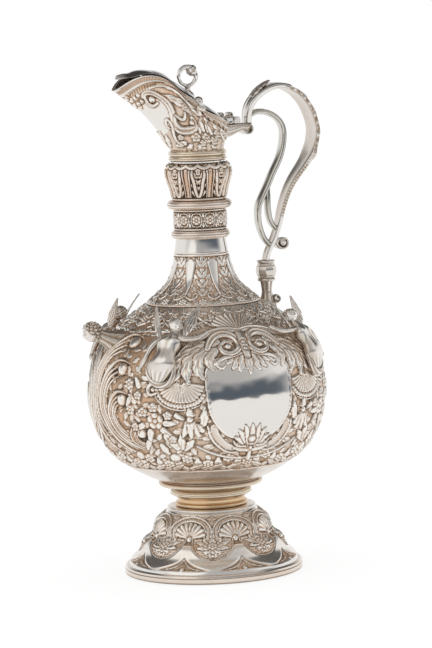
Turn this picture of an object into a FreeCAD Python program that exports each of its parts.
"""Silver ewer with a hinged lid: raised sheet, soldered castings and one pin hinge.

Millimetres, +Z up. The spout points to -X and the handle to +X. The origin is the
centre of the plane that the foot rests on. Each named piece is one solid, and pieces
that are soldered together meet face to face.
"""
import FreeCAD
import Part
import math
import os

Vector = FreeCAD.Vector
ORIGIN = Vector(0, 0, 0)
ALONG_X = Vector(1, 0, 0)
ALONG_Y = Vector(0, 1, 0)
ALONG_Z = Vector(0, 0, 1)
FULL_TURN = 360
HEX_SIDES = 6
PROFILE_SAMPLES = 24
OVAL_POINTS = 12
SEARCH_COUNT = 60

# Sheet, fits and cuts
WALL = 1.0
SEAM_WALL_SHARE = 1.4
RUN_CLEARANCE = 0.05
LID_GAP = 0.5
CUT_OVERRUN = 30.0

# Reach of the handle and of the mask past the belly
REACH_PAST_BODY = 6.1

# Foot
FOOT_RIM_RADIUS = 53.6
FOOT_RIM_HEIGHT = 5.4
FOOT_RIM_WIDTH = 7.0
FOOT_RIM_BEVEL = 0.9
FOOT_LEDGE = 2.4
FOOT_DOME_HEIGHT = 32.6
FOOT_TOP_RADIUS = 26.2
FOOT_DOME_SHARES = ((1, 0), (0.87, 0.16), (0.75, 0.25), (0.67, 0.39), (0.585, 0.47), (0.435, 0.55),
                    (0.375, 0.66), (0.335, 0.77), (0.22, 0.87), (0.09, 0.95), (0, 1))
FOOT_CAP_THICKNESS = 1.6
FOOT_CAP_LIP = 0.6

# Stem
STEM_BORE_RADIUS = 15.0
STEM_COLLAR_RADIUS = 22.0
STEM_COLLAR_HEIGHT = 7.0
STEM_COLLAR_WAIST_SHARE = 0.94
STEM_RING_LOWER_RADIUS = 24.8
STEM_RING_LOWER_HEIGHT = 3.0
STEM_RING_UPPER_RADIUS = 31.4
STEM_RING_UPPER_HEIGHT = 5.4
STEM_COVE_SHARES = ((0.44, 0), (0.5, 0.3), (0.72, 0.55), (0.97, 0.62), (1, 0.8), (0.94, 1))

# Body
BODY_BASE_RADIUS = 29.6
BODY_RADIUS = 72.3
BOWL_HEIGHT = 53.0
BOWL_SHARES = ((0, 0), (0.15, 0.05), (0.36, 0.138), (0.53, 0.228), (0.67, 0.318), (0.834, 0.497),
               (0.93, 0.677), (0.985, 0.86), (1, 1))
SHOULDER_HEIGHT = 55.6
SHOULDER_TOP_RADIUS = 34.2
SHOULDER_SHARES = ((1, 0), (0.981, 0.165), (0.925, 0.36), (0.835, 0.51), (0.585, 0.705), (0.35, 0.838),
                   (0.152, 0.928), (0, 1))

# Neck
NECK_RADIUS = 15.2
NECK_CONE_HEIGHT = 37.4
NECK_CONE_SHARES = ((1, 0), (0.76, 0.107), (0.475, 0.245), (0.305, 0.363), (0.205, 0.49), (0.13, 0.62),
                    (0.075, 0.75), (0.03, 0.88), (0, 1))
NECK_RING_LOWER_RADIUS = 17.8
NECK_RING_LOWER_HEIGHT = 4.8
NECK_BAND_THICKNESS = 0.8
NECK_BAND_HEIGHT = 13.0
NECK_RING_UPPER_RADIUS = 19.6
NECK_RING_UPPER_HEIGHT = 4.8
CALYX_BASE_RADIUS = 16.6
CALYX_RADIUS = 20.2
CALYX_HEIGHT = 23.4
CALYX_SHARES = ((0, 0), (0.03, 0.1), (0.45, 0.38), (0.93, 0.62), (1, 0.72), (0.72, 0.88), (0.12, 1))
THROAT_RING_RADIUS = 17.5
THROAT_RING_HEIGHT = 3.2
BEAD_SHARE = 0.8

# Spout
SPOUT_BASE_RADIUS = 16.0
SPOUT_HEIGHT = 46.0
SPOUT_BACK_SWELL = 9.0
SPOUT_SIDE_SWELL = 2.8
SPOUT_LINEAR_SHARE = 0.63
SPOUT_PINCH_SHARE = 0.6
SPOUT_SECTION_COUNT = 10
SPOUT_SECTION_POINTS = 28
SPOUT_TOP_SHARE = 1.1
RIM_THICKNESS = 1.4
RIM_BAND_HEIGHT = 4.3
MOUTH_BACK_X = 20.6
MOUTH_LENGTH = 72.0
MOUTH_BACK_RISE = 15.4
MOUTH_WAVE_HEIGHT = 31.0
MOUTH_WAVE_SHARES = ((-0.14, -0.01), (0, 0), (0.115, 0.055), (0.21, 0.17), (0.31, 0.285), (0.39, 0.475),
                     (0.486, 0.625), (0.58, 0.82), (0.674, 0.95), (0.778, 0.99), (0.88, 0.93), (1, 0.72),
                     (1.12, 0.42))

# Lid
LID_THICKNESS = 1.2
LID_INSET = 0.4
LID_CROWN = 6.0
LID_BACK_SHARE = 0.03
LID_TIP_SHARE = 0.975
LID_FLAT_SHARE = 0.86
LID_TIP_DROP = 1.2
LID_STATION_COUNT = 24
LID_CROWN_SHARES = ((0, 0.35), (0.12, 0.7), (0.225, 0.95), (0.35, 0.95), (0.5, 1), (0.6, 0.8), (0.72, 0.48),
                    (0.9, 0.42), (1, 0.32))
LID_WIDTH_SHARES = ((0, 1), (0.8, 1), (0.93, 0.68), (1, 0.3))
FINIAL_X = -4.6
FINIAL_FOOT_RADIUS = 3.4
FINIAL_FOOT_RISE = 5.6
FINIAL_RING_RADIUS = 5.5
FINIAL_WIRE_RADIUS = 1.25
FINIAL_KNOB_RADIUS = 2.5
FINIAL_KNOB_ANGLE = 50
FINIAL_STUD_RADIUS = 1.4
FINIAL_STUD_TAIL = 0.8
FINIAL_NUT_ACROSS = 6.0
FINIAL_NUT_THICKNESS = 2.4
FINIAL_BOSS_RADIUS = 3.2
FINIAL_BOSS_SPACING = 6.4

# Hinge
HINGE_SETBACK = 3.7
HINGE_BARREL_RADIUS = 1.9
HINGE_PIN_RADIUS = 0.9
HINGE_KNUCKLE_WIDTH = 4.6
HINGE_SIDE_GAP = 0.3
HINGE_OUTER_WIDTH = 3.4
HINGE_PIN_HEAD_RADIUS = 1.4
HINGE_PIN_HEAD_LENGTH = 0.8
LEAF_WIDTH = 9.0
LEAF_THICKNESS = 1.8
LEAF_FRONT_RUN = 3.0
THUMB_CURL_RADIUS = 2.0
THUMB_WIDTH = 7.0
THUMB_SPACING = 5.4
THUMB_SETBACK = 3.2

# Handle
SOCKET_DROP = 10.4
SOCKET_ROOM = 0.5
SOCKET_OVERHANG = 4.0
SOCKET_SHARES = ((0, 0), (0.25, 0.05), (0.55, 0.3), (0.8, 0.62), (1, 0.8))
HANDLE_ROOT_X = 32.5
HANDLE_RISE = 20.6
STRAP_THICKNESS = 4.4
STRAP_WIDTH = 15.6
STRAP_STATION_COUNT = 32
EVEN_SHARES = ((0, 1), (1, 1))
STRAP_PATH_SHARES = ((0.008, 0.851), (0.06, 0.904), (0.165, 0.95), (0.305, 0.985), (0.46, 1), (0.615, 0.984),
                     (0.758, 0.947), (0.878, 0.889), (0.96, 0.817), (1, 0.74), (0.974, 0.664), (0.9, 0.59),
                     (0.8, 0.529), (0.69, 0.472), (0.59, 0.409), (0.515, 0.342), (0.458, 0.27),
                     (0.411, 0.198), (0.352, 0.135), (0.288, 0.082), (0.236, 0.038))
STRAP_WIDTH_SHARES = ((0, 0.55), (0.1, 0.7), (0.22, 1), (0.55, 1), (0.72, 0.62), (0.88, 0.5), (1, 0.41))
STRAP_THICKNESS_SHARES = ((0, 1), (0.55, 1), (0.8, 0.86), (1, 0.86))
HANDLE_LEAF_WIDTH = 9.0
HANDLE_LEAF_THICKNESS = 2.6
HANDLE_LEAF_STATION_SHARES = (0.1, 0.13, 0.16, 0.183)
HANDLE_LEAF_RISE_SHARES = (0.3, 0.6, 0.85, 1.1)
HANDLE_LEAF_SECTION_SHARES = (0.9, 1, 0.65, 0.2)
SCROLL_WIDTH = 6.0
SCROLL_THICKNESS = 3.0
SCROLL_STATION_COUNT = 26
SCROLL_PATH_SHARES = ((0.03, 0.83), (0.12, 0.85), (0.25, 0.852), (0.412, 0.824), (0.51, 0.775),
                      (0.534, 0.708), (0.505, 0.638), (0.442, 0.568), (0.348, 0.498), (0.267, 0.43),
                      (0.177, 0.363), (0.127, 0.318), (0.112, 0.27), (0.116, 0.225), (0.14, 0.178),
                      (0.184, 0.13), (0.27, 0.085))
BRANCH_THICKNESS = 2.6
BRANCH_WIDTH = 5.0
BRANCH_STATION_COUNT = 12
BRANCH_PATH_SHARES = ((0.267, 0.43), (0.267, 0.37), (0.262, 0.315), (0.27, 0.265), (0.297, 0.22),
                      (0.353, 0.185), (0.404, 0.165))
VOLUTE_RADIUS = 4.4
VOLUTE_EYE_RADIUS = 2.0
VOLUTE_EYE_DEPTH = 1.0
VOLUTE_WIDTH = 7.6
VOLUTE_STATION_SHARE = 0.925
VOLUTE_BITE = 0.5
KNOP_X = 41.6
KNOP_RADIUS = 6.2
KNOP_END_RADIUS = 4.6
KNOP_HEIGHT = 9.4
KNOP_RING_RADIUS = 5.6
KNOP_RING_HEIGHT = 1.6
TERMINAL_HEIGHT = 13.4
TERMINAL_TOP_RADIUS = 4.2
TERMINAL_WAIST_RADIUS = 3.1
TERMINAL_FOOT_RADIUS = 5.4
TERMINAL_WAIST_SHARE = 0.56
TERMINAL_SINK = 4.0
TERMINAL_LEAF_RADIUS = 3.0
TERMINAL_LEAF_WIDTH = 6.0
TERMINAL_LEAF_SETBACK = 5.6
TERMINAL_LEAF_RISE = 2.4

# Applied figures and mask
FIGURE_ANGLE = 42.0
FIGURE_LEAN = 9.5
FIGURE_HEAD_RADIUS = 3.8
FIGURE_HALF_WIDTH = 7.2
FIGURE_DEPTH = 4.4
FIGURE_HEIGHT_SHARES = (0.22, 0.31, 0.4, 0.49, 0.56, 0.62, 0.665, 0.7)
FIGURE_STAND_SHARES = (0.14, 0.36, 0.55, 0.68, 0.77, 0.91, 1.09, 1.27)
FIGURE_WIDTH_SHARES = (0.6, 1.1, 1, 0.66, 0.78, 0.98, 0.8, 0.28)
FIGURE_DEPTH_SHARES = (0.4, 0.8, 0.9, 0.72, 0.85, 1, 0.7, 0.42)
HEAD_HEIGHT_SHARE = 0.742
HEAD_STAND_SHARE = 1.5
ARM_RADIUS = 1.9
ARM_SECTION_SHARES = (1, 0.95, 0.8, 0.65)
REACHING_ARM_RUNS = (5.0, 10.7, 18.9, 27.8)
REACHING_ARM_HEIGHT_SHARES = (0.65, 0.65, 0.66, 0.73)
REACHING_ARM_STAND_SHARES = (1.05, 1, 0.8, 0.6)
RESTING_ARM_RUNS = (-5.0, -9.5, -13.2, -17.7)
RESTING_ARM_HEIGHT_SHARES = (0.65, 0.59, 0.48, 0.36)
RESTING_ARM_STAND_SHARES = (1.05, 0.95, 0.65, 0.45)
WING_CHORD = 8.4
WING_THICKNESS = 1.8
WING_CHORD_SHARES = (0.5, 0.95, 1, 0.7, 0.2)
WING_THICKNESS_SHARES = (1, 1, 0.85, 0.7, 0.5)
WING_HEIGHT_SHARES = (0.66, 0.71, 0.76, 0.81, 0.85)
WING_STAND_SHARES = (0.6, 1.3, 1.95, 2.4, 2.75)
NEAR_WING_RUNS = (8.2, 11.4, 14.5, 18.3, 22.1)
FAR_WING_RUNS = (-6.9, -8.8, -10.7, -12.4, -13.9)
MASK_ANGLE = -90
MASK_RADIUS = 6.6
MASK_HEIGHT_SHARE = 0.71
MASK_NECK_RADIUS = 4.6
MASK_NECK_SPREAD_SHARE = 1.35
MASK_NECK_HEIGHT_SHARE = 0.62
MASK_MUZZLE_RADIUS = 3.0
MASK_MUZZLE_DROP = 3.0

# Heights of the stacked pieces, worked up from the resting plane
dome_z = FOOT_RIM_HEIGHT
cap_z = dome_z + FOOT_DOME_HEIGHT
collar_z = cap_z + FOOT_CAP_THICKNESS
stem_ring_lower_z = collar_z + STEM_COLLAR_HEIGHT
stem_ring_upper_z = stem_ring_lower_z + STEM_RING_LOWER_HEIGHT
bowl_z = stem_ring_upper_z + STEM_RING_UPPER_HEIGHT
belly_z = bowl_z + BOWL_HEIGHT
cone_z = belly_z + SHOULDER_HEIGHT
tube_z = cone_z + NECK_CONE_HEIGHT
band_z = tube_z + NECK_RING_LOWER_HEIGHT
neck_ring_upper_z = band_z + NECK_BAND_HEIGHT
calyx_z = neck_ring_upper_z + NECK_RING_UPPER_HEIGHT
throat_z = calyx_z + CALYX_HEIGHT
throat_upper_z = throat_z + THROAT_RING_HEIGHT
spout_z = throat_upper_z + THROAT_RING_HEIGHT
mouth_z = spout_z + MOUTH_BACK_RISE
jug_reach = BODY_RADIUS + REACH_PAST_BODY


def side_point(x, z):
    """Point of an outline in the plane through the spout and the handle."""
    return Vector(x, 0, z)


def between(low, high, share):
    """Value that lies at a share of the way from low to high."""
    return low + (high - low) * share


def table_value(table, share):
    """Straight-line reading of a table of (place, value) pairs."""
    for (place, value), (next_place, next_value) in zip(table, table[1:]):
        if share <= next_place:
            return between(value, next_value, (share - place) / (next_place - place))
    return table[-1][1]


def steps(count):
    """Shares from 0 to 1 in equal steps."""
    return [i / count for i in range(count + 1)]


def spline(points, start=None, end=None):
    """Smooth curve through points, with end directions where they are given."""
    curve = Part.BSplineCurve()
    if start is None and end is None:
        curve.interpolate(points)
    else:
        curve.interpolate(Points=points, InitialTangent=start, FinalTangent=end)
    return curve


def curve_place(curve, share):
    """Parameter at a share of the way along a curve."""
    return between(curve.FirstParameter, curve.LastParameter, share)


def curve_search(curve, is_past):
    """First parameter of a curve at which a one-way test turns true."""
    low, high = curve.FirstParameter, curve.LastParameter
    for _ in range(SEARCH_COUNT):
        middle = (low + high) / 2
        if is_past(curve.value(middle)):
            high = middle
        else:
            low = middle
    return (low + high) / 2


def polyline(points):
    """Straight edges through points."""
    return [Part.makeLine(a, b) for a, b in zip(points, points[1:])]


def outline_face(edges):
    """Flat face inside a closed outline."""
    return Part.Face(Part.Wire(Part.__sortEdges__(edges)))


def turned(edges):
    """Solid of revolution about the jug's axis."""
    return outline_face(edges).revolve(ORIGIN, ALONG_Z, FULL_TURN)


def side_plate(edges, width):
    """Outline in the spout and handle plane, thickened evenly to both sides."""
    face = outline_face(edges)
    face.translate(ALONG_Y * (-width / 2))
    return face.extrude(ALONG_Y * width)


def share_points(shares, inner, outer, low, height):
    """Outline points whose radius and height follow shares of named sizes."""
    return [side_point(between(inner, outer, r), low + height * h) for r, h in shares]


def inward(curve, place):
    """Unit direction from an upward profile to the inside of its wall."""
    along = curve.tangent(place)[0]
    return Vector(-along.z, 0, along.x)


def sheet_shell(curve, low_wall, high_wall):
    """Turned sheet between a profile and a wall inside it, with level ends."""
    places = [curve_place(curve, share) for share in steps(PROFILE_SAMPLES)]
    low, high = curve.value(places[0]), curve.value(places[-1])
    inner_low, inner_high = low - ALONG_X * low_wall, high - ALONG_X * high_wall
    middle = [curve.value(place) + inward(curve, place) * WALL for place in places[1:-1]]
    inner = spline([inner_low] + middle + [inner_high])
    ends = [Part.makeLine(low, inner_low), Part.makeLine(high, inner_high)]
    return turned([curve.toShape(), inner.toShape()] + ends)


def bead_ring(bore, radius, low, height):
    """Ring with a rounded outside, as drawn wire soldered round a tube."""
    edge = radius - height / 2 * BEAD_SHARE
    points = [side_point(edge, low + height), side_point(bore, low + height), side_point(bore, low),
              side_point(edge, low)]
    bow = Part.Arc(points[-1], side_point(radius, low + height / 2), points[0])
    return turned(polyline(points) + [bow.toShape()])


def loft(wires):
    """Solid through closed sections."""
    return Part.makeLoft(wires, True, False)


def closed_curve(points):
    """Smooth closed wire through points."""
    curve = Part.BSplineCurve()
    curve.interpolate(points, PeriodicFlag=True)
    return Part.Wire(curve.toShape())


def oval(centre, wide, deep):
    """Smooth closed oval with two half-axis vectors."""
    angles = [2 * math.pi * i / OVAL_POINTS for i in range(OVAL_POINTS)]
    return closed_curve([centre + wide * math.cos(a) + deep * math.sin(a) for a in angles])


def rectangle(centre, wide, deep):
    """Closed rectangle with two half-axis vectors."""
    corners = [centre + wide + deep, centre - wide + deep, centre - wide - deep, centre + wide - deep]
    return Part.makePolygon(corners + corners[:1])


def limb(points, radii):
    """Round tapering limb through points, with sections square to its path."""
    path = spline(points)
    wires = []
    for point, radius in zip(points, radii):
        along = path.tangent(path.parameter(point))[0]
        wide = along.cross(ALONG_Z).normalize()
        deep = along.cross(wide).normalize()
        wires.append(oval(point, wide * radius, deep * radius))
    return loft(wires)


def cross_cylinder(centre, radius, width):
    """Cylinder along Y, centred on the jug's middle plane."""
    return Part.makeCylinder(radius, width, centre - ALONG_Y * (width / 2), ALONG_Y)


# Outer profiles that other pieces sit on
bowl_curve = spline(share_points(BOWL_SHARES, BODY_BASE_RADIUS, BODY_RADIUS, bowl_z, BOWL_HEIGHT),
                    ALONG_X + ALONG_Z * (BOWL_SHARES[1][1] / BOWL_SHARES[1][0]), ALONG_Z)
shoulder_points = share_points(SHOULDER_SHARES, SHOULDER_TOP_RADIUS, BODY_RADIUS, belly_z, SHOULDER_HEIGHT)
shoulder_curve = spline(shoulder_points, ALONG_Z, ALONG_Z - ALONG_X * (BODY_RADIUS / SHOULDER_HEIGHT))
cone_curve = spline(share_points(NECK_CONE_SHARES, NECK_RADIUS, SHOULDER_TOP_RADIUS, cone_z,
                                 NECK_CONE_HEIGHT))
mouth_curve = spline([side_point(MOUTH_BACK_X - MOUTH_LENGTH * x, mouth_z + MOUTH_WAVE_HEIGHT * z)
                      for x, z in MOUTH_WAVE_SHARES])


def body_core():
    """Body and neck cone filled to the axis, for seating what is soldered on."""
    base, top = side_point(0, bowl_z), side_point(0, tube_z)
    edges = [bowl_curve.toShape(), shoulder_curve.toShape(), cone_curve.toShape()]
    rim = cone_curve.value(cone_curve.LastParameter)
    edges += polyline([rim, top, base, side_point(BODY_BASE_RADIUS, bowl_z)])
    return turned(edges)


def on_shoulder(azimuth, height_share, stand):
    """Point that stands off the shoulder, with its outward and sideways directions.

    The azimuth is in degrees from -Y towards +X.
    """
    height = belly_z + SHOULDER_HEIGHT * height_share
    place = curve_search(shoulder_curve, lambda point: point.z > height)
    out = inward(shoulder_curve, place) * -1
    flat = shoulder_curve.value(place) + out * stand
    turn = FreeCAD.Rotation(ALONG_Z, azimuth - 90)
    return turn.multVec(flat), turn.multVec(out), turn.multVec(ALONG_Y)


def mouth_height(x):
    """Height of the mouth's edge at a distance from the axis."""
    return mouth_curve.value(curve_search(mouth_curve, lambda point: point.x < x)).z


def spout_lean(share):
    """Share of the spout's forward reach at a share of its height."""
    return between(share ** 3, share, SPOUT_LINEAR_SHARE)


# The spout's front meets the mouth's tip
tip_share = (mouth_z + MOUTH_WAVE_HEIGHT * MOUTH_WAVE_SHARES[-2][1] - spout_z) / SPOUT_HEIGHT
spout_reach = (MOUTH_LENGTH - MOUTH_BACK_X - SPOUT_BASE_RADIUS) / spout_lean(tip_share)


def spout_form(z):
    """Half length, middle, half width and pinch of the spout's plan at a height."""
    share = (z - spout_z) / SPOUT_HEIGHT
    front = SPOUT_BASE_RADIUS + spout_reach * spout_lean(share)
    back = SPOUT_BASE_RADIUS + SPOUT_BACK_SWELL * share
    side = SPOUT_BASE_RADIUS + SPOUT_SIDE_SWELL * share
    return (front + back) / 2, (back - front) / 2, side, SPOUT_PINCH_SHARE * share


def spout_section(z, offset):
    """Pear-shaped plan of the spout at a height, moved outwards by an offset."""
    half, middle, side, pinch = spout_form(z)
    points = []
    for i in range(SPOUT_SECTION_POINTS):
        angle = 2 * math.pi * i / SPOUT_SECTION_POINTS
        x = middle - half * math.cos(angle)
        y = side * math.sin(angle) * (1 - pinch * math.cos(angle))
        out = Vector(-side * (math.cos(angle) - pinch * math.cos(2 * angle)), half * math.sin(angle), 0)
        points.append(Vector(x, y, z) + out.normalize() * offset)
    return closed_curve(points)


def spout_solid(offset):
    """Filled spout, moved outwards by an offset and higher than its mouth."""
    heights = [spout_z + SPOUT_HEIGHT * SPOUT_TOP_SHARE * share for share in steps(SPOUT_SECTION_COUNT)]
    return loft([spout_section(z, offset) for z in heights])


def above_mouth():
    """Everything over the mouth's edge."""
    first, last = mouth_curve.value(mouth_curve.FirstParameter), mouth_curve.value(mouth_curve.LastParameter)
    top = mouth_z + MOUTH_WAVE_HEIGHT + CUT_OVERRUN
    ahead = last.x - CUT_OVERRUN
    corners = [last, side_point(ahead, last.z), side_point(ahead, top), side_point(first.x, top), first]
    edges = polyline(corners)
    return side_plate([mouth_curve.toShape()] + edges, MOUTH_LENGTH + CUT_OVERRUN)


def mouth_band():
    """Everything within one band height under the mouth's edge."""
    lower = mouth_curve.copy()
    lower.translate(ALONG_Z * -RIM_BAND_HEIGHT)
    ends = [Part.makeLine(mouth_curve.value(p), lower.value(p))
            for p in (mouth_curve.FirstParameter, mouth_curve.LastParameter)]
    return side_plate([mouth_curve.toShape(), lower.toShape()] + ends, MOUTH_LENGTH + CUT_OVERRUN)


def lid_edge(share):
    """Place, lower edge height, half width and crown of the lid at a share of its length."""
    mouth_share = between(LID_BACK_SHARE, LID_TIP_SHARE, share)
    x = MOUTH_BACK_X - MOUTH_LENGTH * mouth_share
    flat_x = MOUTH_BACK_X - MOUTH_LENGTH * LID_FLAT_SHARE
    z = mouth_height(max(x, flat_x)) + LID_GAP
    if x < flat_x:
        z -= LID_TIP_DROP * (mouth_share - LID_FLAT_SHARE) / (LID_TIP_SHARE - LID_FLAT_SHARE)
    half, middle, side, pinch = spout_form(z)
    turn = math.acos((middle - x) / half)
    plan = side * math.sin(turn) * (1 - pinch * math.cos(turn)) - LID_INSET
    return x, z, plan * table_value(LID_WIDTH_SHARES, share), LID_CROWN * table_value(LID_CROWN_SHARES, share)


def lid_arc(x, z, half_width, crown):
    """Arched section of the lid, from one side to the other."""
    return Part.Arc(Vector(x, -half_width, z), Vector(x, 0, z + crown), Vector(x, half_width, z)).toShape()


def arch_wire(arc, x, half_width, z, reach):
    """Closed section between an arch and a level line some way above or below it."""
    corners = [Vector(x, half_width, z), Vector(x, half_width, z + reach), Vector(x, -half_width, z + reach),
               Vector(x, -half_width, z)]
    return Part.Wire([arc] + polyline(corners))


def lid_forms():
    """Lid shell, the space under its outside and the space over its inside."""
    shells, unders, overs = [], [], []
    for share in steps(LID_STATION_COUNT):
        x, z, half_width, crown = lid_edge(share)
        outer = lid_arc(x, z, half_width, crown)
        inner_half = half_width - LID_THICKNESS
        inner = lid_arc(x, z, inner_half, crown - LID_THICKNESS)
        feet = [Part.makeLine(Vector(x, side * half_width, z), Vector(x, side * inner_half, z))
                for side in (1, -1)]
        shells.append(Part.Wire([outer, feet[0], inner, feet[1]]))
        unders.append(arch_wire(outer, x, half_width, z, -CUT_OVERRUN))
        overs.append(arch_wire(inner, x, inner_half, z, CUT_OVERRUN))
    return loft(shells), loft(unders), loft(overs)


def lid_top(x):
    """Height of the lid's outside on its middle line."""
    share = ((MOUTH_BACK_X - x) / MOUTH_LENGTH - LID_BACK_SHARE) / (LID_TIP_SHARE - LID_BACK_SHARE)
    _, z, _, crown = lid_edge(share)
    return z + crown


# Places of the hinge and of the handle's ends
hinge_x = MOUTH_BACK_X + HINGE_SETBACK
leaf_z = lid_edge(0)[1]
hinge_z = leaf_z + LEAF_THICKNESS / 2
knuckle_reach = HINGE_KNUCKLE_WIDTH / 2
bracket_reach = knuckle_reach + HINGE_SIDE_GAP + HINGE_OUTER_WIDTH
socket_top_z = hinge_z - HINGE_BARREL_RADIUS - SOCKET_ROOM
handle_top_z = mouth_z + HANDLE_RISE
handle_out_x = jug_reach - STRAP_THICKNESS / 2
terminal_seat_z = shoulder_curve.value(curve_search(shoulder_curve, lambda point: point.x < KNOP_X)).z
knop_ring_lower_z = terminal_seat_z + TERMINAL_HEIGHT
knop_z = knop_ring_lower_z + KNOP_RING_HEIGHT
knop_ring_upper_z = knop_z + KNOP_HEIGHT
strap_end_z = knop_ring_upper_z + KNOP_RING_HEIGHT


def handle_points(shares):
    """Points of a handle member, as shares of the handle's reach and height."""
    return [side_point(between(HANDLE_ROOT_X, handle_out_x, x), between(strap_end_z, handle_top_z, z))
            for x, z in shares]


strap_path = spline([side_point(HANDLE_ROOT_X, socket_top_z)] + handle_points(STRAP_PATH_SHARES)
                    + [side_point(KNOP_X, strap_end_z)], ALONG_Z, -ALONG_Z)


def strap_frame(path, share):
    """Point of a member's path and the direction square to it, away from the hand."""
    place = curve_place(path, share)
    along = path.tangent(place)[0]
    return path.value(place), Vector(-along.z, 0, along.x)


def make_foot_rim():
    """Flat ring with bevelled edges that the jug stands on."""
    inner, outer, bevel = FOOT_RIM_RADIUS - FOOT_RIM_WIDTH, FOOT_RIM_RADIUS, FOOT_RIM_BEVEL
    points = [side_point(inner, 0), side_point(outer - bevel, 0), side_point(outer, bevel),
              side_point(outer, FOOT_RIM_HEIGHT - bevel), side_point(outer - bevel, FOOT_RIM_HEIGHT),
              side_point(inner, FOOT_RIM_HEIGHT)]
    return turned(polyline(points + points[:1]))


def make_foot_dome():
    """Raised foot in rounded steps, from the rim up to the cap."""
    base = FOOT_RIM_RADIUS - FOOT_LEDGE
    curve = spline(share_points(FOOT_DOME_SHARES, FOOT_TOP_RADIUS, base, dome_z, FOOT_DOME_HEIGHT))
    return sheet_shell(curve, WALL * SEAM_WALL_SHARE, WALL * SEAM_WALL_SHARE)


def make_foot_cap():
    """Lip that closes the top of the foot."""
    radius = FOOT_TOP_RADIUS + FOOT_CAP_LIP
    return bead_ring(STEM_BORE_RADIUS, radius, cap_z, FOOT_CAP_THICKNESS)


def make_stem_collar():
    """Waisted collar between the foot and the stem's rings."""
    top = collar_z + STEM_COLLAR_HEIGHT
    points = [side_point(STEM_COLLAR_RADIUS, top), side_point(STEM_BORE_RADIUS, top),
              side_point(STEM_BORE_RADIUS, collar_z), side_point(STEM_COLLAR_RADIUS, collar_z)]
    waist = side_point(STEM_COLLAR_RADIUS * STEM_COLLAR_WAIST_SHARE, collar_z + STEM_COLLAR_HEIGHT / 2)
    return turned(polyline(points) + [Part.Arc(points[-1], waist, points[0]).toShape()])


def make_stem_ring_lower():
    """Bead over the collar."""
    return bead_ring(STEM_BORE_RADIUS, STEM_RING_LOWER_RADIUS, stem_ring_lower_z, STEM_RING_LOWER_HEIGHT)


def make_stem_ring_upper():
    """Flared ring that cups the bottom of the body."""
    points = share_points(STEM_COVE_SHARES, STEM_BORE_RADIUS, STEM_RING_UPPER_RADIUS, stem_ring_upper_z,
                          STEM_RING_UPPER_HEIGHT)
    bore = [side_point(STEM_BORE_RADIUS, point.z) for point in (points[-1], points[0])]
    return turned([spline(points).toShape()] + polyline([points[-1]] + bore + [points[0]]))


def make_body_bowl():
    """Lower half of the body, with its flat floor."""
    places = [curve_place(bowl_curve, share) for share in steps(PROFILE_SAMPLES)]
    middle = [bowl_curve.value(place) + inward(bowl_curve, place) * WALL for place in places[1:-1]]
    floor = side_point(BODY_BASE_RADIUS, bowl_z + WALL)
    lip = side_point(BODY_RADIUS - WALL, belly_z)
    inner = spline([floor] + middle + [lip])
    base = side_point(BODY_BASE_RADIUS, bowl_z)
    edges = polyline([floor, side_point(0, bowl_z + WALL), side_point(0, bowl_z), base])
    lip_edge = Part.makeLine(lip, side_point(BODY_RADIUS, belly_z))
    return turned(edges + [bowl_curve.toShape(), lip_edge, inner.toShape()])


def make_body_shoulder():
    """Upper half of the body, from the belly to the foot of the neck."""
    return sheet_shell(shoulder_curve, WALL, WALL * SEAM_WALL_SHARE)


def make_neck_cone():
    """Flared sheet from the shoulder to the tube."""
    return sheet_shell(cone_curve, WALL * SEAM_WALL_SHARE, WALL)


def make_neck_tube():
    """Plain tube that carries the rings, the band, the calyx and the spout."""
    bore, top = NECK_RADIUS - WALL, spout_z
    points = [side_point(bore, tube_z), side_point(NECK_RADIUS, tube_z), side_point(NECK_RADIUS, top),
              side_point(bore, top)]
    return turned(polyline(points + points[:1]))


def make_neck_ring_lower():
    """Bead at the foot of the tube."""
    return bead_ring(NECK_RADIUS, NECK_RING_LOWER_RADIUS, tube_z, NECK_RING_LOWER_HEIGHT)


def make_neck_band():
    """Strip of ornament round the tube."""
    outer, top = NECK_RADIUS + NECK_BAND_THICKNESS, band_z + NECK_BAND_HEIGHT
    points = [side_point(NECK_RADIUS, band_z), side_point(outer, band_z), side_point(outer, top),
              side_point(NECK_RADIUS, top)]
    return turned(polyline(points + points[:1]))


def make_neck_ring_upper():
    """Bead over the band."""
    return bead_ring(NECK_RADIUS, NECK_RING_UPPER_RADIUS, neck_ring_upper_z, NECK_RING_UPPER_HEIGHT)


def make_neck_calyx():
    """Swelling sleeve of leaves under the throat."""
    points = share_points(CALYX_SHARES, CALYX_BASE_RADIUS, CALYX_RADIUS, calyx_z, CALYX_HEIGHT)
    return sheet_shell(spline(points), points[0].x - NECK_RADIUS, points[-1].x - NECK_RADIUS)


def make_throat_ring(low):
    """Bead at the throat, from a height up."""
    return bead_ring(NECK_RADIUS, THROAT_RING_RADIUS, low, THROAT_RING_HEIGHT)


def make_spout_shell(outside):
    """Open pear-shaped spout under its wavy mouth."""
    return outside.cut(spout_solid(-WALL)).cut(above_mouth())


def make_spout_rim(outside):
    """Applied band that follows the mouth's edge outside the spout."""
    return spout_solid(RIM_THICKNESS).cut(outside).common(mouth_band())


def finial_seat():
    """Point of the lid's outside under the finial, and the direction into the lid there."""
    reach = FINIAL_STUD_RADIUS
    slope = (lid_top(FINIAL_X + reach) - lid_top(FINIAL_X - reach)) / reach / 2
    return side_point(FINIAL_X, lid_top(FINIAL_X)), Vector(slope, 0, -1).normalize()


def finial_stud():
    """Threaded stud of the finial, square to the lid."""
    seat, inwards = finial_seat()
    length = FINIAL_STUD_RADIUS + LID_THICKNESS + FINIAL_NUT_THICKNESS + FINIAL_STUD_TAIL
    return Part.makeCylinder(FINIAL_STUD_RADIUS, length, seat - inwards * FINIAL_STUD_RADIUS, inwards)


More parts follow.
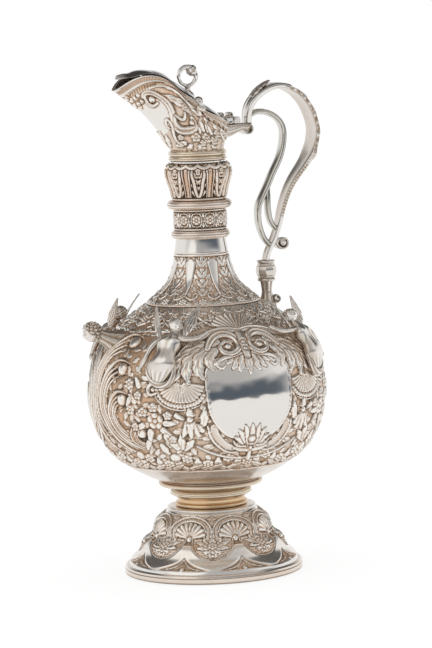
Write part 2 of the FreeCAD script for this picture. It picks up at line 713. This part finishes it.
def make_finial(under_lid):
    """Ring with a knob on a round foot that is seated on the lid."""
    seat, _ = finial_seat()
    foot = Part.makeCylinder(FINIAL_FOOT_RADIUS, FINIAL_FOOT_RISE + LID_CROWN, seat - ALONG_Z * LID_CROWN)
    centre = seat + ALONG_Z * (FINIAL_FOOT_RISE + FINIAL_RING_RADIUS)
    ring = Part.makeTorus(FINIAL_RING_RADIUS, FINIAL_WIRE_RADIUS, centre, ALONG_Y)
    angle = math.radians(FINIAL_KNOB_ANGLE)
    knob_place = centre + side_point(math.cos(angle), math.sin(angle)) * FINIAL_RING_RADIUS
    knob = Part.makeSphere(FINIAL_KNOB_RADIUS, knob_place)
    return foot.cut(under_lid).fuse([ring, knob, finial_stud()]).removeSplitter()


def make_finial_nut(over_lid):
    """Six-sided nut under the lid, on the finial's stud."""
    seat, inwards = finial_seat()
    across, corner = ALONG_Y.cross(inwards), FINIAL_NUT_ACROSS / math.sqrt(3)
    turns = [2 * math.pi * i / HEX_SIDES for i in range(HEX_SIDES + 1)]
    ring = [seat + (ALONG_Y * math.cos(a) + across * math.sin(a)) * corner for a in turns]
    block = Part.Face(Part.makePolygon(ring)).extrude(inwards * (LID_THICKNESS + FINIAL_NUT_THICKNESS))
    return block.cut(over_lid).cut(finial_stud())


def make_finial_boss(lid_shell, finial):
    """Domed bead on the lid behind the finial, which is the part of a ball above the shell."""
    x = FINIAL_X + FINIAL_BOSS_SPACING
    ball = Part.makeSphere(FINIAL_BOSS_RADIUS, side_point(x, lid_top(x)))
    return max(ball.cut(lid_shell).Solids, key=lambda part: part.CenterOfMass.z).cut(finial)


def make_lid_hinge_leaf(lid_shell):
    """Leaf under the back of the lid, with the middle knuckle of the hinge."""
    front = MOUTH_BACK_X - MOUTH_LENGTH * LID_BACK_SHARE - LEAF_FRONT_RUN
    shoulder = hinge_x - HINGE_BARREL_RADIUS - HINGE_SIDE_GAP
    plate = Part.makeBox(shoulder - front, LEAF_WIDTH, LEAF_THICKNESS, Vector(front, -LEAF_WIDTH / 2, leaf_z))
    neck = Part.makeBox(hinge_x - front, HINGE_KNUCKLE_WIDTH, LEAF_THICKNESS,
                        Vector(front, -knuckle_reach, leaf_z))
    axis = side_point(hinge_x, hinge_z)
    knuckle = cross_cylinder(axis, HINGE_BARREL_RADIUS, HINGE_KNUCKLE_WIDTH)
    bore = cross_cylinder(axis, HINGE_PIN_RADIUS + RUN_CLEARANCE, HINGE_KNUCKLE_WIDTH + CUT_OVERRUN)
    return plate.fuse([neck, knuckle]).cut(bore).cut(lid_shell).removeSplitter()


def make_thumb_scroll(under_lid):
    """Two curls over the leaf, which the thumb presses."""
    top = leaf_z + LEAF_THICKNESS
    rear = side_point(hinge_x - THUMB_SETBACK, top + THUMB_CURL_RADIUS)
    front = rear - ALONG_X * THUMB_SPACING
    bridge = Part.makeBox(THUMB_SPACING, THUMB_WIDTH, THUMB_CURL_RADIUS,
                          Vector(front.x, -THUMB_WIDTH / 2, top))
    curls = [cross_cylinder(centre, THUMB_CURL_RADIUS, THUMB_WIDTH) for centre in (front, rear)]
    return bridge.fuse(curls).cut(under_lid).removeSplitter()


def make_hinge_bracket():
    """Two outer knuckles on one floor, which hold the pin."""
    axis = side_point(hinge_x, hinge_z)
    pieces = []
    for low in (-bracket_reach, knuckle_reach + HINGE_SIDE_GAP):
        corner = Vector(hinge_x - HINGE_BARREL_RADIUS, low, socket_top_z)
        pieces.append(Part.makeBox(2 * HINGE_BARREL_RADIUS, HINGE_OUTER_WIDTH, hinge_z - socket_top_z,
                                   corner))
        pieces.append(Part.makeCylinder(HINGE_BARREL_RADIUS, HINGE_OUTER_WIDTH, axis + ALONG_Y * low,
                                        ALONG_Y))
    floor = Part.makeBox(2 * HINGE_BARREL_RADIUS, 2 * bracket_reach, SOCKET_ROOM / 2,
                         Vector(hinge_x - HINGE_BARREL_RADIUS, -bracket_reach, socket_top_z))
    bore = cross_cylinder(axis, HINGE_PIN_RADIUS, 2 * bracket_reach + CUT_OVERRUN)
    return floor.fuse(pieces).cut(bore).removeSplitter()


def make_hinge_pin():
    """Pin through the knuckles, with a head at each end."""
    axis = side_point(hinge_x, hinge_z)
    length = 2 * bracket_reach
    heads = [Part.makeCylinder(HINGE_PIN_HEAD_RADIUS, HINGE_PIN_HEAD_LENGTH, axis + ALONG_Y * low, ALONG_Y)
             for low in (-bracket_reach - HINGE_PIN_HEAD_LENGTH, bracket_reach)]
    return cross_cylinder(axis, HINGE_PIN_RADIUS, length).fuse(heads).removeSplitter()


def make_handle_socket(outside, rim):
    """Bracket behind the spout that carries the hinge and the handle's root."""
    low = socket_top_z - SOCKET_DROP
    end = HANDLE_ROOT_X + SOCKET_OVERHANG
    points = [side_point(between(0, end, x), between(low, socket_top_z, z)) for x, z in SOCKET_SHARES]
    edges = polyline([points[-1], side_point(end, socket_top_z), side_point(0, socket_top_z), points[0]])
    plate = side_plate([spline(points).toShape()] + edges, 2 * bracket_reach)
    return plate.cut(outside).cut(rim)


def swept_member(path, stations, section, width_table, thickness_table, width, thickness):
    """Solid along a path in the middle plane, with a section that follows two tables of shares."""
    wires = []
    for share in steps(stations):
        centre, out = strap_frame(path, share)
        wide = ALONG_Y * (width / 2 * table_value(width_table, share))
        wires.append(section(centre, wide, out * (thickness / 2 * table_value(thickness_table, share))))
    return loft(wires)


def make_handle_strap():
    """Main strap of the handle, from its root to the knop."""
    return swept_member(strap_path, STRAP_STATION_COUNT, rectangle, STRAP_WIDTH_SHARES,
                        STRAP_THICKNESS_SHARES, STRAP_WIDTH, STRAP_THICKNESS)


def make_handle_leaf(strap):
    """Leaf that lifts off the strap near its root."""
    wires = []
    rows = zip(HANDLE_LEAF_STATION_SHARES, HANDLE_LEAF_RISE_SHARES, HANDLE_LEAF_SECTION_SHARES)
    for station, rise, size in rows:
        place, out = strap_frame(strap_path, station)
        centre = place + out * (STRAP_THICKNESS * rise)
        wide = ALONG_Y * (HANDLE_LEAF_WIDTH / 2 * size)
        wires.append(oval(centre, wide, out * (HANDLE_LEAF_THICKNESS / 2 * size)))
    return loft(wires).cut(strap)


def make_handle_inner_scroll(strap):
    """Slender scroll inside the strap."""
    path = spline(handle_points(SCROLL_PATH_SHARES))
    return swept_member(path, SCROLL_STATION_COUNT, oval, EVEN_SHARES, EVEN_SHARES, SCROLL_WIDTH,
                        SCROLL_THICKNESS).cut(strap)


def make_handle_inner_branch(strap, scroll):
    """Short twig from the inner scroll back to the strap."""
    path = spline(handle_points(BRANCH_PATH_SHARES))
    return swept_member(path, BRANCH_STATION_COUNT, oval, EVEN_SHARES, EVEN_SHARES, BRANCH_WIDTH,
                        BRANCH_THICKNESS).cut(strap).cut(scroll)


def make_handle_volute(strap):
    """Curl on the outside of the strap, with sunk eyes."""
    centre, out = strap_frame(strap_path, VOLUTE_STATION_SHARE)
    centre += out * (STRAP_THICKNESS / 2 + VOLUTE_RADIUS - VOLUTE_BITE)
    disc = cross_cylinder(centre, VOLUTE_RADIUS, VOLUTE_WIDTH)
    groove = cross_cylinder(centre, (VOLUTE_RADIUS + VOLUTE_EYE_RADIUS) / 2, VOLUTE_WIDTH)
    groove = groove.cut(cross_cylinder(centre, VOLUTE_EYE_RADIUS, VOLUTE_WIDTH))
    groove = groove.cut(cross_cylinder(centre, VOLUTE_RADIUS, VOLUTE_WIDTH - 2 * VOLUTE_EYE_DEPTH))
    return disc.cut(groove).cut(strap)


def make_knop_ring(low):
    """Bead above or below the knop."""
    ring = bead_ring(0, KNOP_RING_RADIUS, low, KNOP_RING_HEIGHT)
    ring.translate(ALONG_X * KNOP_X)
    return ring


def make_handle_knop():
    """Round knop at the handle's foot."""
    low, high = side_point(KNOP_END_RADIUS, knop_z), side_point(KNOP_END_RADIUS, knop_ring_upper_z)
    bow = spline([low, side_point(KNOP_RADIUS, knop_z + KNOP_HEIGHT / 2), high])
    edges = polyline([high, side_point(0, knop_ring_upper_z), side_point(0, knop_z), low])
    knop = turned(edges + [bow.toShape()])
    knop.translate(ALONG_X * KNOP_X)
    return knop


def make_handle_terminal(core):
    """Waisted foot of the handle, seated on the shoulder."""
    low = terminal_seat_z - TERMINAL_SINK
    heights = (low, between(low, knop_ring_lower_z, TERMINAL_WAIST_SHARE), knop_ring_lower_z)
    radii = (TERMINAL_FOOT_RADIUS, TERMINAL_WAIST_RADIUS, TERMINAL_TOP_RADIUS)
    wires = [oval(side_point(KNOP_X, z), ALONG_X * r, ALONG_Y * r) for z, r in zip(heights, radii)]
    return loft(wires).cut(core)


def make_terminal_leaf(core, terminal):
    """Curled leaf behind the handle's foot."""
    centre = side_point(KNOP_X + TERMINAL_LEAF_SETBACK, terminal_seat_z + TERMINAL_LEAF_RISE)
    return cross_cylinder(centre, TERMINAL_LEAF_RADIUS, TERMINAL_LEAF_WIDTH).cut(core).cut(terminal)


def figure_azimuth(run):
    """Azimuth at a run along the belly from a figure's middle."""
    return math.degrees(run / BODY_RADIUS) - FIGURE_ANGLE


def figure_arm(runs, heights, stands):
    """Arm of a figure, through places measured from its middle."""
    points = [on_shoulder(figure_azimuth(run), height, FIGURE_DEPTH * stand)[0]
              for run, height, stand in zip(runs, heights, stands)]
    return limb(points, [ARM_RADIUS * share for share in ARM_SECTION_SHARES])


def make_figure(core):
    """Half-length figure that lies on the shoulder, with its skirt down and arms spread."""
    wires = []
    last = len(FIGURE_HEIGHT_SHARES) - 1
    rows = zip(FIGURE_HEIGHT_SHARES, FIGURE_STAND_SHARES, FIGURE_WIDTH_SHARES, FIGURE_DEPTH_SHARES)
    for i, (height, stand, width, depth) in enumerate(rows):
        azimuth = figure_azimuth(between(-FIGURE_LEAN / 2, FIGURE_LEAN / 2, i / last))
        centre, out, side = on_shoulder(azimuth, height, FIGURE_DEPTH * stand)
        wires.append(oval(centre, side * (FIGURE_HALF_WIDTH * width), out * (FIGURE_DEPTH * depth)))
    torso = loft(wires)
    head_azimuth = figure_azimuth(FIGURE_LEAN / 2)
    head_place = on_shoulder(head_azimuth, HEAD_HEIGHT_SHARE, FIGURE_DEPTH * HEAD_STAND_SHARE)[0]
    head = Part.makeSphere(FIGURE_HEAD_RADIUS, head_place)
    arms = [figure_arm(REACHING_ARM_RUNS, REACHING_ARM_HEIGHT_SHARES, REACHING_ARM_STAND_SHARES),
            figure_arm(RESTING_ARM_RUNS, RESTING_ARM_HEIGHT_SHARES, RESTING_ARM_STAND_SHARES)]
    return torso.fuse([head] + arms).cut(core)


def make_wing(runs, core, figure):
    """Upright feathered blade that springs from a figure's shoulder."""
    wires = []
    rows = zip(runs, WING_HEIGHT_SHARES, WING_STAND_SHARES, WING_CHORD_SHARES, WING_THICKNESS_SHARES)
    for run, height, stand, chord, thickness in rows:
        centre, out, side = on_shoulder(figure_azimuth(run), height, FIGURE_DEPTH * stand)
        flat = Vector(out.x, out.y, 0).normalize()
        wires.append(oval(centre, flat * (WING_CHORD / 2 * chord), side * (WING_THICKNESS / 2 * thickness)))
    return loft(wires).cut(core).cut(figure)


def make_spout_mask(core):
    """Small cast head under the spout, on a neck from the shoulder."""
    centre = on_shoulder(MASK_ANGLE, MASK_HEIGHT_SHARE, 0)[0]
    centre.x = MASK_RADIUS - jug_reach
    root = on_shoulder(MASK_ANGLE, MASK_NECK_HEIGHT_SHARE, -MASK_NECK_RADIUS)[0]
    along = (centre - root).normalize()
    wide, deep = ALONG_Y, along.cross(ALONG_Y)
    radii = (MASK_NECK_RADIUS * MASK_NECK_SPREAD_SHARE, MASK_NECK_RADIUS)
    neck = loft([oval(place, wide * r, deep * r) for place, r in zip((root, centre), radii)])
    muzzle_place = side_point(MASK_MUZZLE_RADIUS - jug_reach, centre.z - MASK_MUZZLE_DROP)
    muzzle = Part.makeSphere(MASK_MUZZLE_RADIUS, muzzle_place)
    return Part.makeSphere(MASK_RADIUS, centre).fuse([neck, muzzle]).cut(core)


def base_pieces():
    """Foot, stem, body and neck, which are turned about the jug's axis."""
    return {
        "foot_rim": make_foot_rim(),
        "foot_dome": make_foot_dome(),
        "foot_cap": make_foot_cap(),
        "stem_collar": make_stem_collar(),
        "stem_ring_lower": make_stem_ring_lower(),
        "stem_ring_upper": make_stem_ring_upper(),
        "body_bowl": make_body_bowl(),
        "body_shoulder": make_body_shoulder(),
        "neck_cone": make_neck_cone(),
        "neck_tube": make_neck_tube(),
        "neck_ring_lower": make_neck_ring_lower(),
        "neck_band": make_neck_band(),
        "neck_ring_upper": make_neck_ring_upper(),
        "neck_calyx": make_neck_calyx(),
        "throat_ring_lower": make_throat_ring(throat_z),
        "throat_ring_upper": make_throat_ring(throat_upper_z),
    }


def mouth_pieces():
    """Spout with its rim, the hinge and the lid with its ornaments."""
    outside = spout_solid(0)
    lid_shell, under_lid, over_lid = lid_forms()
    finial = make_finial(under_lid)
    rim = make_spout_rim(outside)
    return {
        "spout_shell": make_spout_shell(outside),
        "spout_rim": rim,
        "hinge_bracket": make_hinge_bracket(),
        "hinge_pin": make_hinge_pin(),
        "handle_socket": make_handle_socket(outside, rim),
        "lid_shell": lid_shell.cut(finial_stud()),
        "lid_hinge_leaf": make_lid_hinge_leaf(lid_shell),
        "thumb_scroll": make_thumb_scroll(under_lid),
        "lid_finial": finial,
        "finial_nut": make_finial_nut(over_lid),
        "finial_boss": make_finial_boss(lid_shell, finial),
    }


def handle_pieces(core):
    """Scroll handle from its root behind the mouth to its seat on the shoulder."""
    strap = make_handle_strap()
    scroll = make_handle_inner_scroll(strap)
    terminal = make_handle_terminal(core)
    return {
        "handle_strap": strap,
        "handle_leaf": make_handle_leaf(strap),
        "handle_inner_scroll": scroll,
        "handle_inner_branch": make_handle_inner_branch(strap, scroll),
        "handle_volute": make_handle_volute(strap),
        "knop_ring_upper": make_knop_ring(knop_ring_upper_z),
        "handle_knop": make_handle_knop(),
        "knop_ring_lower": make_knop_ring(knop_ring_lower_z),
        "handle_terminal": terminal,
        "terminal_leaf": make_terminal_leaf(core, terminal),
    }


def applied_pieces(core):
    """Mask under the spout and four mirrored figures, each with its pair of wings."""
    figure = make_figure(core)
    wing_pair = [make_wing(runs, core, figure) for runs in (NEAR_WING_RUNS, FAR_WING_RUNS)]
    wings = Part.makeCompound(wing_pair)
    pieces = {"spout_mask": make_spout_mask(core)}
    for name, shape in (("figure", figure), ("wings", wings)):
        across = shape.mirror(ORIGIN, ALONG_Y)
        pieces[name + "_spout_right"] = shape
        pieces[name + "_spout_left"] = across
        pieces[name + "_handle_right"] = shape.mirror(ORIGIN, ALONG_X)
        pieces[name + "_handle_left"] = across.mirror(ORIGIN, ALONG_X)
    return pieces


def main():
    """Write each piece to its own file."""
    core = body_core()
    os.makedirs("parts", exist_ok=True)
    for group in (base_pieces(), mouth_pieces(), handle_pieces(core), applied_pieces(core)):
        for node, shape in group.items():
            shape.exportStep("parts/" + node + ".step")


main()
